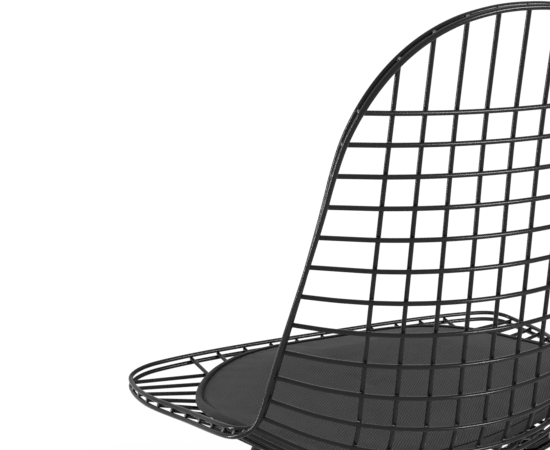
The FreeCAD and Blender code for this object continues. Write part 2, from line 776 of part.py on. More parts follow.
def block_above(name, level):
    """Everything above a quilt of flat-sided patches that follows the shell at a given height."""
    roof = 2 * size("rim_height")
    half = size("pad_half") * SHEET_WIDER
    sides = [half * (2.0 * i / PAD_SPANS - 1) for i in range(PAD_SPANS + 1)]
    first = -size("pad_front")
    last = size("pad_rear") + 2 * size("pad_front")
    rows = []
    for i in range(PAD_RUNS + 1):
        run = first + (last - first) * i / PAD_RUNS
        rows.append([surface(run, x, level(run, x)) for x in sides])
    ahead = min(point.y for point in rows[0]) - size("pad_front")
    behind = max(point.y for point in rows[-1]) + size("pad_front")
    rows.insert(0, [Vector(point.x, ahead, point.z) for point in rows[0]])
    rows.append([Vector(point.x, behind, point.z) for point in rows[-1]])
    slices = []
    for i, row in enumerate(rows):
        slice_wire = doc.addObject("Part::Polygon", "%s_slice_%d" % (name, i))
        corners = [Vector(row[-1].x, row[-1].y, roof), Vector(row[0].x, row[0].y, roof)]
        slice_wire.Nodes = row + corners
        slice_wire.Close = True
        slices.append(slice_wire)
    block = doc.addObject("Part::Loft", name)
    block.Sections = slices
    block.Solid = True
    block.Ruled = True
    return block


def pad_column(name, inset):
    """Upright column with the pad's outline, drawn in by inset."""
    half = size("pad_half") - inset
    front = size("pad_front") + inset - size("rim_front")
    rear = size("pad_rear") - inset - size("rim_front")
    big = size("pad_corner") - inset
    small = size("pad_tail") - inset
    diagonal = math.sqrt(0.5)
    edges = []
    for sign in (1, -1):
        start = Vector(0, front, 0)
        bend = Vector(sign * (half - big), front, 0)
        turn = Vector(sign * (half - big + big * diagonal), front + big - big * diagonal, 0)
        straight = Vector(sign * half, front + big, 0)
        tail = Vector(sign * half, rear - small, 0)
        curl = Vector(sign * (half - small + small * diagonal), rear - small + small * diagonal, 0)
        finish = Vector(sign * (half - small), rear, 0)
        close = Vector(0, rear, 0)
        edges.append(Part.LineSegment(start, bend).toShape())
        edges.append(Part.Arc(bend, turn, straight).toShape())
        edges.append(Part.LineSegment(straight, tail).toShape())
        edges.append(Part.Arc(tail, curl, finish).toShape())
        edges.append(Part.LineSegment(finish, close).toShape())
    outline = doc.addObject("Part::Feature", name + "_outline")
    outline.Shape = Part.Face(Part.Wire(Part.sortEdges(edges)[0]))
    outline.Placement = Placement(Vector(0, 0, size("rim_height") / 2), Rotation())
    column = doc.addObject("Part::Extrusion", name)
    column.Base = outline
    column.DirMode = "Custom"
    column.Dir = Vector(0, 0, 1)
    bind(column, LengthFwd="Dims.rim_height")
    column.Solid = True
    return column


def common(name, base, tool):
    """What two shapes share."""
    result = doc.addObject("Part::Common", name)
    result.Base = base
    result.Tool = tool
    return result


over_base = block_above("over_base", pad_bottom)
over_top = block_above("over_top", pad_top)
over_band = block_above("over_band", band_top)
ring = cut("band_ring", pad_column("band_outer", 0.0), pad_column("band_inner", size("border_thick")))
band = cut("band_trim", common("band_rise", ring, over_base), over_band)
node(band, "pad_border")
core = pad_column("cushion_column", size("border_thick") + size("seam_gap"))
cushion = cut("cushion_trim", common("cushion_rise", core, over_base), over_top)
node(cushion, "pad_cushion")

doc.recompute()

for obj in doc.Objects:
    if "Invalid" in obj.State or "Error" in obj.State:
        raise RuntimeError("failed: " + obj.Name)
for obj in NODES:
    if obj.Shape.isNull() or not obj.Shape.isValid() or not obj.Shape.Solids:
        raise RuntimeError("no solid: " + obj.Label)

os.makedirs("parts", exist_ok=True)
for obj in NODES:
    obj.Shape.exportStep("parts/%s.step" % obj.Label)
print(len(NODES), "nodes")
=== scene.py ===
"""Looks of the wire shell chair: round coated wires with welds, a sewn seat pad and a rod base."""

import math

import bmesh
import bpy
import numpy as np
from bpy.props import FloatProperty, FloatVectorProperty, IntProperty, PointerProperty
from bpy.types import Operator, Panel, PropertyGroup
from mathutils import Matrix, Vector
from mathutils.bvhtree import BVHTree


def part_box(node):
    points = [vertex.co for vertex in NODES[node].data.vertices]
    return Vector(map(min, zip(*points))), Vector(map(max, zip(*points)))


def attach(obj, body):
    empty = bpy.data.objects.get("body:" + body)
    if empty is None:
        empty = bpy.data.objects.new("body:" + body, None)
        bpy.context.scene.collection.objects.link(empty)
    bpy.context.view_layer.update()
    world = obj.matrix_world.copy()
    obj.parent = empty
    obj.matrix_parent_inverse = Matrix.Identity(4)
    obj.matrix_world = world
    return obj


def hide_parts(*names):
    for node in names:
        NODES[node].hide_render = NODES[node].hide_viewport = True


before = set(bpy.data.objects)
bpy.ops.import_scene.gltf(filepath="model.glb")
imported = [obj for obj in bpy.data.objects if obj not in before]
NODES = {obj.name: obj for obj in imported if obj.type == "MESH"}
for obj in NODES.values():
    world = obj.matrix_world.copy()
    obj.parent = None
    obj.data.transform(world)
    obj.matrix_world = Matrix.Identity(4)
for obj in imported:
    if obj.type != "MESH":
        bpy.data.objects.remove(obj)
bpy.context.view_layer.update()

bl_info = {
    "name": "Wire shell chair",
    "version": (1, 0, 0),
    "blender": (4, 5, 0),
    "location": "3D View > Sidebar > Chair",
    "description": "Dresses the wire shell chair and sets its studio",
    "category": "Object",
}

BODY = "root"
CROSS_WIRES = sorted(name for name in NODES if name.startswith("cross_wire_"))
LONG_WIRES = sorted(name for name in NODES if name.startswith("long_wire_"))
RIMS = ("rim_lower", "rim_upper")
LEGS = sorted(name for name in NODES if name.startswith("leg_") and name != "leg_tabs")
BRACES = sorted(name for name in NODES if name.startswith("brace_"))
PATHS = {}  # middle lines of the shell's wires and rims, which the welds need

FULL_TURN = 2 * math.pi
WHITE = (1, 1, 1, 1)
SEEN_RAYS = ("Is Camera Ray", "Is Glossy Ray", "Is Transmission Ray")

# how the CAD wires are cut into sections, in metres and radians
CROSS_STEP = 0.013  # at most, between sections of a cross wire
CROSS_LEAST = 8  # steps, also on a short one
CROSS_MARGIN = 0.006  # from its tip to the first section
BUCKET_AXIS = (0.0, -0.02, 0.65)  # the long wires turn round a line across the bucket through here
LONG_STEPS = 24  # per radian of a long wire
LONG_LEAST = 10
LONG_MARGIN = 0.02
TIP_REACH = 0.03  # corners this near to the last section belong to the tip
TIP_LEAST = 0.0005
RIM_FRONT_TOP = 0.6  # the rim's front lies below this height
ON_MIDDLE = 1e-5
SAME_POINT = 1e-6
NOTHING = 1e-9
ON_PLANE = 1e-8

WIRE_STEPS = 3  # of a smooth curve, between two sections
RIM_STEPS = 5
TIP_CHAMFER = 0.0005  # at the cut ends of wires and rods
ARC_STEPS = 40  # of a quarter turn of the pad's outline


# shader maths

class Signal:
    """A shader socket that takes part in Python expressions."""

    def __init__(self, finish, socket):
        self.finish = finish
        self.socket = socket

    def _math(self, operation, first, second=0.0):
        return self.finish.node("ShaderNodeMath", {"operation": operation}, {0: first, 1: second})

    def __add__(self, other):
        return self._math("ADD", self, other)

    def __radd__(self, other):
        return self._math("ADD", other, self)

    def __sub__(self, other):
        return self._math("SUBTRACT", self, other)

    def __rsub__(self, other):
        return self._math("SUBTRACT", other, self)

    def __mul__(self, other):
        return self._math("MULTIPLY", self, other)

    def __rmul__(self, other):
        return self._math("MULTIPLY", other, self)

    def wave(self):
        """Sine, from 0 to 1."""
        return self._math("SINE", self) * 0.5 + 0.5

    def most(self, other):
        return self._math("MAXIMUM", self, other)


class Finish:
    """The nodes of a material or a world, all made by one method."""

    def __init__(self, owner):
        owner.use_nodes = True
        self.owner = owner
        self.tree = owner.node_tree
        self.tree.nodes.clear()

    def node(self, kind, settings=None, values=None, output=0):
        """Adds a node, with its settings and then its values or links, and gives one output."""
        made = self.tree.nodes.new(kind)
        for key, value in (settings or {}).items():
            setattr(made, key, value)
        for key, value in (values or {}).items():
            if isinstance(value, Signal):
                self.tree.links.new(value.socket, made.inputs[key])
            else:
                made.inputs[key].default_value = value
        return Signal(self, made.outputs[output]) if len(made.outputs) else None

    def place(self):
        return self.node("ShaderNodeTexCoord", output="Object")

    def noise(self, where, scale, detail=2.0, roughness=0.5):
        values = {"Vector": where, "Scale": scale, "Detail": detail, "Roughness": roughness}
        return self.node("ShaderNodeTexNoise", values=values, output="Fac")

    def mix(self, factor, first, second):
        return self.node("ShaderNodeMix", {"data_type": "RGBA"}, {0: factor, 6: first, 7: second}, 2)

    def ramp(self, value, low, high):
        settings = {"clamp": True, "interpolation_type": "SMOOTHSTEP"}
        return self.node("ShaderNodeMapRange", settings, {0: value, 1: low, 2: high})

    def bump(self, height, strength, distance):
        values = {"Strength": strength, "Distance": distance, "Height": height}
        return self.node("ShaderNodeBump", None, values)

    def seen(self):
        """1 for rays from the eye, straight, mirrored or through glass, and 0 for those that carry light."""
        straight, mirrored, through = (self.node("ShaderNodeLightPath", output=ray) for ray in SEEN_RAYS)
        return straight.most(mirrored).most(through)

    def surface(self, **values):
        """Closes a material with one principled shader."""
        sockets = {key.replace("_", " "): value for key, value in values.items()}
        return self.closed(self.node("ShaderNodeBsdfPrincipled", None, sockets))

    def closed(self, shader, kind="ShaderNodeOutputMaterial"):
        self.node(kind, None, {"Surface": shader})
        return self.owner


def material_finish(name):
    return Finish(bpy.data.materials.new(name))


def darker(colour, part):
    return tuple(channel * part for channel in colour)


def shade(colour, part=1.0):
    """A colour as a socket takes it, made darker or lighter."""
    return (*darker(colour, part), 1.0)


# materials

def coated_steel(name, colour, roughness, peel):
    """Satin powder coat: fine orange peel, a cloudy tone and a few specks of dust."""
    finish = material_finish(name)
    where = finish.place()
    peel_height = finish.noise(where, scale=2400.0)
    cloud = finish.noise(where, scale=38.0, detail=3.0, roughness=0.55)
    speck = finish.ramp(finish.noise(where, scale=420.0), low=0.62, high=0.78)
    body = finish.mix(cloud, shade(colour, 0.8), shade(colour, 1.2))
    return finish.surface(
        Base_Color=finish.mix(speck * 0.03, body, shade(colour, 2.6)),
        Roughness=roughness + (cloud - 0.5) * 0.06 + speck * 0.03,
        Specular_IOR_Level=0.17,
        Normal=finish.bump(peel_height, strength=peel, distance=0.00005),
    )


def painted_glint_weld(name, colour, roughness):
    """Welds, drawn lighter than the coat as a painted glint: rippled, and slightly glossier on their crests.
    """
    finish = material_finish(name)
    where = finish.place()
    ripple = finish.noise(where, scale=1400.0)
    cloud = finish.noise(where, scale=160.0)
    return finish.surface(
        Base_Color=finish.mix(cloud, shade(colour, 0.85), shade(colour, 1.7)),
        Roughness=roughness - 0.14 * ripple,
        Normal=finish.bump(ripple, strength=0.5, distance=0.0003),
    )


def zinc_steel(name, colour):
    """Black zinc: a dark plating with fine marks."""
    finish = material_finish(name)
    marks = finish.noise(finish.place(), scale=700.0, detail=4.0, roughness=0.65)
    return finish.surface(
        Base_Color=finish.mix(marks, shade(colour, 0.7), shade(colour, 1.4)),
        Metallic=0.85 + 0.1 * marks,
        Roughness=0.32 + 0.16 * marks,
        Normal=finish.bump(marks, strength=0.15, distance=0.0001),
    )


def moulded(name, colour, roughness, grain):
    """Moulded rubber or plastic: spark-eroded grain with scuffs."""
    finish = material_finish(name)
    where = finish.place()
    pits = finish.noise(where, scale=1600.0)
    scuff = finish.ramp(finish.noise(where, scale=130.0, detail=5.0, roughness=0.7), low=0.56, high=0.74)
    return finish.surface(
        Base_Color=finish.mix(scuff * 0.5, shade(colour), shade(colour, 2.4)),
        Roughness=roughness + 0.12 * scuff,
        Normal=finish.bump(pits, strength=grain, distance=0.00015),
    )


def twill(name, colour, pitch, contrast):
    """Fine twill: diagonal ribs of crossing threads, with slubs and a soft sheen."""
    finish = material_finish(name)
    where = finish.place()
    across, along = (finish.node("ShaderNodeSeparateXYZ", None, {0: where}, axis) for axis in "XY")
    wander = finish.noise(where, scale=260.0, detail=1.0)
    rib_turn = FULL_TURN / pitch * 0.7071
    thread_turn = FULL_TURN / pitch * 0.75
    rib = ((across - along) * rib_turn + wander * 3.2).wave()
    thread = (across * thread_turn + wander * 1.2).wave()
    slub = finish.noise(where, scale=90.0, detail=3.0, roughness=0.6)
    cloud = finish.noise(where, scale=14.0)
    height = rib * (0.6 + 0.4 * thread)
    light = (rib * 0.75 + thread * 0.25) * contrast + slub * 0.4 + cloud * 0.2 - 0.2
    return finish.surface(
        Base_Color=finish.mix(light, shade(colour, 0.45), shade(colour, 1.6)),
        Roughness=0.82 - 0.16 * height,
        Specular_IOR_Level=0.08,
        Sheen_Weight=0.04,
        Sheen_Roughness=0.5,
        Normal=finish.bump(height + slub * 0.4, strength=0.35, distance=0.0004),
    )


# wire paths, read from the CAD wires

def triangles(name):
    """Corners of a node's triangles."""
    mesh = NODES[name].data
    mesh.calc_loop_triangles()
    points = np.array([vertex.co for vertex in mesh.vertices])
    return points[np.array([tri.vertices for tri in mesh.loop_triangles])]


def slice_centre(corners, origin, way, side=None):
    """Centre of the section that a plane cuts through a wire, or None where it misses."""
    height = (corners - origin) @ way
    height = np.where(np.abs(height) < ON_PLANE, ON_PLANE, height)
    hit = (height.min(axis=1) < 0) & (height.max(axis=1) > 0)
    total, weight = np.zeros(3), 0.0
    for tri, level in zip(corners[hit], height[hit]):
        ends = []
        for i, j in ((0, 1), (1, 2), (2, 0)):
            if level[i] * level[j] < 0:
                part = level[i] / (level[i] - level[j])
                ends.append(tri[i] + (tri[j] - tri[i]) * part)
        if len(ends) != 2:
            continue
        middle = (ends[0] + ends[1]) / 2
        if side is not None and (middle - origin) @ side < 0:
            continue
        length = np.linalg.norm(ends[1] - ends[0])
        total += middle * length
        weight += length
    return total / weight if weight > NOTHING else None


def with_tips(corners, centres):
    """Carries a row of section centres on to the wire's two cut ends."""
    points = corners.reshape(-1, 3)
    row = list(centres)
    for place, end, next_one in ((0, row[0], row[1]), (len(row) + 1, row[-1], row[-2])):
        way = end - next_one
        way = way / np.linalg.norm(way)
        near = points[np.linalg.norm(points - end, axis=1) < TIP_REACH]
        row.insert(place, end + way * max(((near - end) @ way).max(), TIP_LEAST))
    return [Vector(point) for point in row]


def cross_path(name):
    """Section centres of a cross wire, from the sitter's right to their left."""
    corners = triangles(name)
    low, high = corners[..., 0].min(), corners[..., 0].max()
    steps = max(CROSS_LEAST, math.ceil((high - low) / CROSS_STEP))
    centres = []
    for i in range(steps + 1):
        x = low + CROSS_MARGIN + (high - low - 2 * CROSS_MARGIN) * i / steps
        centres.append(slice_centre(corners, np.array((x, 0, 0)), np.array((1.0, 0, 0))))
    return with_tips(corners, centres)


def long_path(name):
    """Section centres of a long wire, from one end to the other."""
    corners = triangles(name)
    axis = np.array(BUCKET_AXIS)
    turn = np.arctan2(corners[..., 2] - axis[2], corners[..., 1] - axis[1])
    low, high = turn.min() + LONG_MARGIN, turn.max() - LONG_MARGIN
    steps = max(LONG_LEAST, math.ceil((high - low) * LONG_STEPS))
    centres = []
    for i in range(steps + 1):
        angle = low + (high - low) * i / steps
        way = np.array((0.0, -math.sin(angle), math.cos(angle)))
        out = np.array((0.0, math.cos(angle), math.sin(angle)))
        centres.append(slice_centre(corners, axis, way, out))
    return with_tips(corners, [centre for centre in centres if centre is not None])


def rim_path(name):
    """Centres of a rim's bends, once round from the front centre."""
    shape = bmesh.new()
    shape.from_mesh(NODES[name].data)
    bmesh.ops.remove_doubles(shape, verts=shape.verts, dist=SAME_POINT)
    level = [vert for vert in shape.verts if abs(vert.co.x) < ON_MIDDLE and vert.co.z < RIM_FRONT_TOP]
    seen = set(level)
    half = []
    while level:
        right = [vert.co for vert in level if vert.co.x > -ON_MIDDLE]
        half.append(sum(right, Vector()) / len(right))
        following = []
        for vert in level:
            for edge in vert.link_edges:
                other = edge.other_vert(vert)
                if other not in seen:
                    seen.add(other)
                    following.append(other)
        level = following
    shape.free()
    for end in (half[0], half[-1]):
        end.x = 0.0
    return half + [Vector((-point.x, point.y, point.z)) for point in half[-2:0:-1]]


def eased(points, steps):
    """Cubic B-spline along open control points."""
    row = [points[0] * 2 - points[1]] + list(points) + [points[-1] * 2 - points[-2]]
    path = []
    for i in range(len(row) - 3):
        for k in range(steps):
            path.append(b_spline(row[i:i + 4], k / steps))
    path.append(b_spline(row[-4:], 1.0))
    return path


def b_spline(four, t):
    """Point of a uniform cubic B-spline between four control points."""
    w = ((1 - t) ** 3, 3 * t ** 3 - 6 * t ** 2 + 4, -3 * t ** 3 + 3 * t ** 2 + 3 * t + 1, t ** 3)
    return (four[0] * w[0] + four[1] * w[1] + four[2] * w[2] + four[3] * w[3]) / 6


def rounded(points, steps):
    """Smooth closed curve through its points."""
    count = len(points)
    path = []
    for i in range(count):
        a, b, c, d = (points[(i + k) % count] for k in (-1, 0, 1, 2))
        runs = [max((q - p).length, SAME_POINT) ** 0.5 for p, q in ((a, b), (b, c), (c, d))]
        leave = (b - a) / runs[0] - (c - a) / (runs[0] + runs[1]) + (c - b) / runs[1]
        arrive = (c - b) / runs[1] - (d - b) / (runs[1] + runs[2]) + (d - c) / runs[2]
        leave *= runs[1]
        arrive *= runs[1]
        for k in range(steps):
            t = k / steps
            from_here = b * (2 * t ** 3 - 3 * t ** 2 + 1) + leave * (t ** 3 - 2 * t ** 2 + t)
            path.append(from_here + c * (3 * t ** 2 - 2 * t ** 3) + arrive * (t ** 3 - t ** 2))
    return path


def nearest(one, two):
    """Gap between two paths, and where on each of them it is."""
    a = np.array([tuple(p) for p in one])
    b = np.array([tuple(p) for p in two])
    gap = np.linalg.norm(a[:, None] - b[None], axis=2)
    i, j = np.unravel_index(gap.argmin(), gap.shape)
    return gap[i, j], i, j


def way_at(path, i):
    return (path[min(i + 1, len(path) - 1)] - path[max(i - 1, 0)]).normalized()


def axes_along(way):
    """Three axes, the last of them along a rod."""
    side = way.orthogonal().normalized()
    return side, way.cross(side), way


def axes_over(up, lean):
    """Three axes, the last of them up and the first as near to lean as it can be."""
    first = (lean - up * lean.dot(up)).normalized()
    return first, up.cross(first), up


# meshes

def new_piece(name, verts, faces, material):
    """A piece that rides on the chair."""
    mesh = bpy.data.meshes.new(name)
    mesh.from_pydata([tuple(vert) for vert in verts], [], faces)
    mesh.validate()
    mesh.materials.append(material)
    mesh.shade_smooth()
    piece = bpy.data.objects.new(name, mesh)
    bpy.context.scene.collection.objects.link(piece)
    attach(piece, BODY)
    return piece


def band(here, there, sides, flipped=False):
    """Faces between two rings of corners, which start at here and there."""
    faces = []
    for k in range(sides):
        m = (k + 1) % sides
        if flipped:
            faces.append((here + k, there + k, there + m, here + m))
        else:
            faces.append((here + k, here + m, there + m, there + k))
    return faces


def fan(tip, first, sides, flipped=False):
    """Faces from a tip to the ring of corners that starts at first."""
    pairs = [(first + k, first + (k + 1) % sides) for k in range(sides)]
    return [(tip, b, a) if flipped else (tip, a, b) for a, b in pairs]


def sweep(path, radius, sides, closed=False):
    """Round tube along a path, with its cut ends eased."""
    count = len(path)
    ways = []
    for i in range(count):
        before = path[i - 1] if closed or i else path[0]
        after = path[(i + 1) % count] if closed or i < count - 1 else path[-1]
        ways.append((after - before).normalized())
    normal = ways[0].orthogonal().normalized()
    frames = []
    for way in ways:
        normal = (normal - way * normal.dot(way)).normalized()
        frames.append((normal.copy(), way.cross(normal)))
    twist = 0.0
    if closed:
        back = (frames[-1][0] - ways[0] * frames[-1][0].dot(ways[0])).normalized()
        twist = math.atan2(back.dot(frames[0][1]), back.dot(frames[0][0]))
    rings = []
    for i, (point, (one, two)) in enumerate(zip(path, frames)):
        rings.append((point, one, two, radius, -twist * i / count))
    if not closed:
        for place, way in ((0, ways[0]), (-1, -ways[-1])):
            point, one, two, _, turn = rings[place]
            rings[place] = (point + way * TIP_CHAMFER, one, two, radius, turn)
            rings.insert(0 if place == 0 else len(rings), (point, one, two, radius - TIP_CHAMFER, turn))
    verts, faces = [], []
    for point, one, two, wide, turn in rings:
        for k in range(sides):
            angle = FULL_TURN * k / sides + turn
            verts.append(point + (one * math.cos(angle) + two * math.sin(angle)) * wide)
    for i in range(len(rings) if closed else len(rings) - 1):
        faces += band(i * sides, (i + 1) % len(rings) * sides, sides)
    if not closed:
        faces.append(tuple(reversed(range(sides))))
        last = (len(rings) - 1) * sides
        faces.append(tuple(range(last, last + sides)))
    return verts, faces


def blob(centre, axes, sizes, rings=6, sides=10):
    """Rounded bead with its own half sizes along three axes."""
    verts = [centre + axes[2] * sizes[2]]
    for i in range(1, rings):
        level = math.pi * i / rings
        for k in range(sides):
            angle = FULL_TURN * k / sides
            flat = axes[0] * sizes[0] * math.cos(angle) + axes[1] * sizes[1] * math.sin(angle)
            verts.append(centre + flat * math.sin(level) + axes[2] * sizes[2] * math.cos(level))
    verts.append(centre - axes[2] * sizes[2])
    faces = fan(0, 1, sides)
    for i in range(rings - 2):
        faces += band(1 + i * sides, 1 + (i + 1) * sides, sides, flipped=True)
    foot = len(verts) - 1
    faces += fan(foot, foot - sides, sides, flipped=True)
    return verts, faces


def turned(x, y, profile, sides):
    """Solid turned from pairs of radius and height, from the middle of its foot to that of its top."""
    verts = [Vector((x, y, profile[0][1]))]
    for radius, z in profile[1:-1]:
        for k in range(sides):
            angle = FULL_TURN * k / sides
            verts.append(Vector((x + radius * math.cos(angle), y + radius * math.sin(angle), z)))
    verts.append(Vector((x, y, profile[-1][1])))
    faces = fan(0, 1, sides, flipped=True)
    for i in range(len(profile) - 3):
        faces += band(1 + i * sides, 1 + (i + 1) * sides, sides)
    top = len(verts) - 1
    faces += fan(top, top - sides, sides)
    return verts, faces


def gathered(parts):
    """One list of corners and faces from several."""
    verts, faces = [], []
    for more, sides in parts:
        start = len(verts)
        verts += more
        faces += [tuple(start + i for i in face) for face in sides]
    return verts, faces


# properties

class ChairSizes(PropertyGroup):
    """Sizes of the wires, the welds and the pad."""

    wire: FloatProperty(name="Wire", description="Shell wire across", default=0.0043, unit="LENGTH")
    rim: FloatProperty(name="Rim", description="Rim wire across", default=0.0048, unit="LENGTH")
    bite: FloatProperty(
        name="Bite", description="Sink of a rim into the wire ends", default=0.0006, unit="LENGTH")
    brace: FloatProperty(name="Brace", description="Brace rod across", default=0.0062, unit="LENGTH")
    sides: IntProperty(name="Sides", description="Sides of a round wire", default=14, min=8)
    nugget: FloatProperty(name="Nugget", description="Spot weld across", default=0.0032, unit="LENGTH")
    roll: FloatProperty(name="Roll", description="Border roll across", default=0.0074, unit="LENGTH")
    front_corner: FloatProperty(
        name="Front corner", description="Radius of the pad's front corners", default=0.150, unit="LENGTH")
    rear_corner: FloatProperty(
        name="Rear corner", description="Radius of the pad's rear corners", default=0.095, unit="LENGTH")
    proud: FloatProperty(
        name="Proud", description="Rise of the roll over its core", default=0.0005, unit="LENGTH")
    # The seam cord is a dark cord that paints the shade of the seam's groove.
    cord: FloatProperty(name="Cord", description="Seam cord across", default=0.0018, unit="LENGTH")
    groove: FloatProperty(name="Groove", description="Depth of the seam", default=0.0034, unit="LENGTH")
    swell: FloatProperty(
        name="Swell", description="Most that the top may swell", default=0.003, unit="LENGTH")


class ChairColours(PropertyGroup):
    """Colours and gloss of the chair."""

    coat: FloatVectorProperty(
        name="Coat", description="Powder coat", subtype="COLOR", default=(0.008, 0.008, 0.0082))
    # The weld colour is about nine times the coat's: a painted glint for the light that the black-coated
    # welds catch.
    weld: FloatVectorProperty(
        name="Weld", description="Weld metal under the coat", subtype="COLOR", default=(0.075, 0.075, 0.075))
    cloth: FloatVectorProperty(
        name="Cloth", description="Top of the pad", subtype="COLOR", default=(0.039, 0.039, 0.039))
    binding: FloatVectorProperty(
        name="Binding", description="Border roll", subtype="COLOR", default=(0.045, 0.045, 0.045))
    rubber: FloatVectorProperty(
        name="Rubber", description="Washers", subtype="COLOR", default=(0.012, 0.012, 0.012))
    glide: FloatVectorProperty(
        name="Glide", description="Foot glides", subtype="COLOR", default=(0.014, 0.014, 0.015))
    zinc: FloatVectorProperty(
        name="Zinc", description="Bolts", subtype="COLOR", default=(0.09, 0.09, 0.095))
    gloss: FloatProperty(name="Gloss", description="Roughness of the coat", default=0.18, min=0, max=1)


class ChairStudio(PropertyGroup):
    """Camera and light."""

    eye: FloatVectorProperty(
        name="Eye", description="Camera position", subtype="TRANSLATION", default=(0.5421, 1.0186, 0.91916))
    look: FloatVectorProperty(
        name="Look", description="Camera direction", subtype="DIRECTION", default=(-0.3996, -0.8849, -0.2394))
    lens: FloatProperty(name="Lens", description="Focal length in mm on 36 mm", default=79.6)
    shift: FloatVectorProperty(name="Shift", description="Frame shift", size=2, default=(-0.1046, -0.0461))
    floor: FloatVectorProperty(
        name="Floor", description="Floor colour", subtype="COLOR", default=(0.86, 0.86, 0.86))
    top: FloatProperty(name="Top", description="Overhead soft box power in watts", default=5.0)
    key: FloatProperty(name="Key", description="Key soft box power in watts", default=32.0)
    side: FloatProperty(name="Side", description="Side soft box power in watts", default=26.0)
    sky: FloatProperty(name="Sky", description="Light from all round", default=0.42)


def sizes():
    return bpy.context.scene.chair_sizes


def colours():
    return bpy.context.scene.chair_colours


def coat_material():
    found = bpy.data.materials.get("satin_coat")
    return found or coated_steel("satin_coat", colours().coat, colours().gloss, peel=0.03)


# The welds' material, lighter than the coat: a painted glint.
def weld_material():
    found = bpy.data.materials.get("weld_painted_glint")
    return found or painted_glint_weld("weld_painted_glint", colours().weld, roughness=0.46)


# operators

class CHAIR_OT_shell_wires(Operator):
    """Round cross wires and long wires on the paths of the CAD wires"""

    bl_idname = "chair.shell_wires"
    bl_label = "Shell wires"

    def execute(self, context):
        for name in CROSS_WIRES + LONG_WIRES:
            centres = cross_path(name) if name in CROSS_WIRES else long_path(name)
            PATHS[name] = eased(centres, WIRE_STEPS)
            verts, faces = sweep(PATHS[name], sizes().wire / 2, sizes().sides)
            piece = new_piece("round_" + name, verts, faces, coat_material())
            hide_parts(name)
        return {"FINISHED"}


class CHAIR_OT_rim_wires(Operator):
    """Two round rim wires that hold the ends of the others"""

    bl_idname = "chair.rim_wires"
    bl_label = "Rim wires"

    def execute(self, context):
        lines = {name: rounded(rim_path(name), RIM_STEPS) for name in RIMS}
        for name, other in zip(RIMS, reversed(RIMS)):
            PATHS[name] = self.sunk(lines[name], lines[other])
            verts, faces = sweep(PATHS[name], sizes().rim / 2, sizes().sides + 2, closed=True)
            piece = new_piece("round_" + name, verts, faces, coat_material())
            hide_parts(name)
        return {"FINISHED"}

    def sunk(self, path, other):
        """The rim where welding has sunk it into the wire ends, towards the other rim."""
        a = np.array([tuple(p) for p in path])
        b = np.array([tuple(p) for p in other])
        facing = b[np.linalg.norm(a[:, None] - b[None], axis=2).argmin(axis=1)]
        way = (facing - a) / np.linalg.norm(facing - a, axis=1)[:, None]
        return [Vector(point) for point in a + way * sizes().bite]


class CHAIR_OT_shell_welds(Operator):
    """Spot welds where wires cross and where their ends meet the rims"""

    bl_idname = "chair.shell_welds"
    bl_label = "Shell welds"

    CROSSING_GAP = 1.35  # in wires, the most between middle lines that are welded
    RIM_GAP = 1.9
    # the rest in half nuggets
    CROSSING_HALF = 0.62  # height of the bead between crossing wires, halved
    END_HALVES = (0.8, 1.1)  # half sizes of an end's bead, outwards and along the rim
    END_OUT = 0.4  # its place outside the middle of the rims
    END_BITE = 0.5  # its reach into each rim

    def execute(self, context):
        beads = []
        for cross in CROSS_WIRES:
            for line in LONG_WIRES:
                gap, i, j = nearest(PATHS[cross], PATHS[line])
                if gap < sizes().wire * self.CROSSING_GAP:
                    beads.append(self.crossing_weld(PATHS[cross], i, PATHS[line], j))
        lower, upper = (PATHS[name] for name in RIMS)
        for name in CROSS_WIRES + LONG_WIRES:
            path = PATHS[name]
            for i in (0, len(path) - 1):
                low_gap, _, low = nearest([path[i]], lower)
                high_gap, _, high = nearest([path[i]], upper)
                if max(low_gap, high_gap) < sizes().wire * self.RIM_GAP:
                    beads.append(self.end_weld(path, i, lower[low], upper[high]))
        verts, faces = gathered(beads)
        new_piece("spot_welds", verts, faces, weld_material())
        return {"FINISHED"}

    def end_weld(self, path, i, low, high):
        """Upright bead that joins a wire's end to both rims."""
        wide = sizes().nugget / 2
        tall = (high - low).length / 2 - sizes().rim / 2 + wide * self.END_BITE
        axes = axes_over((high - low).normalized(), way_at(path, i) * (1 if i else -1))
        place = (low + high) / 2 + axes[0] * wide * self.END_OUT
        out, along = self.END_HALVES
        return blob(place, axes, (wide * out, wide * along, tall), rings=10, sides=14)

    def crossing_weld(self, one, i, two, j):
        """Flat bead between two crossing wires."""
        wide = sizes().nugget / 2
        axes = axes_over((two[j] - one[i]).normalized(), way_at(one, i))
        return blob((one[i] + two[j]) / 2, axes, (wide, wide, wide * self.CROSSING_HALF))


def pad_outline(inset, count):
    """Outline of the pad drawn in by inset, in equal steps, with the way inwards at each."""
    low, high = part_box("pad_border")
    half = high.x
    big, small = sizes().front_corner, sizes().rear_corner
    quarter = [math.pi / 2 * i / ARC_STEPS for i in range(ARC_STEPS + 1)]
    side = []
    for angle in quarter:
        side.append(Vector((half - big + big * math.sin(angle), low.y + big - big * math.cos(angle))))
    for angle in quarter:
        x = half - small + small * math.cos(angle)
        side.append(Vector((x, high.y - small + small * math.sin(angle))))
    ring = side + [Vector((-point.x, point.y)) for point in reversed(side)]
    runs = [0.0]
    for i in range(len(ring)):
        runs.append(runs[-1] + (ring[(i + 1) % len(ring)] - ring[i]).length)
    points = []
    for k in range(count):
        place = runs[-1] * k / count
        i = max(index for index in range(len(ring)) if runs[index] <= place)
        span = max(runs[i + 1] - runs[i], NOTHING)
        points.append(ring[i].lerp(ring[(i + 1) % len(ring)], (place - runs[i]) / span))
    result = []
    for k in range(count):
        way = points[(k + 1) % count] - points[k - 1]
        inward = Vector((-way.y, way.x)).normalized()
        result.append((points[k] + inward * inset, inward))
    return result


def tree_of(name):
    """A node's faces, ready for rays."""
    mesh = NODES[name].data
    corners = [vert.co for vert in mesh.vertices]
    return BVHTree.FromPolygons(corners, [list(poly.vertices) for poly in mesh.polygons])


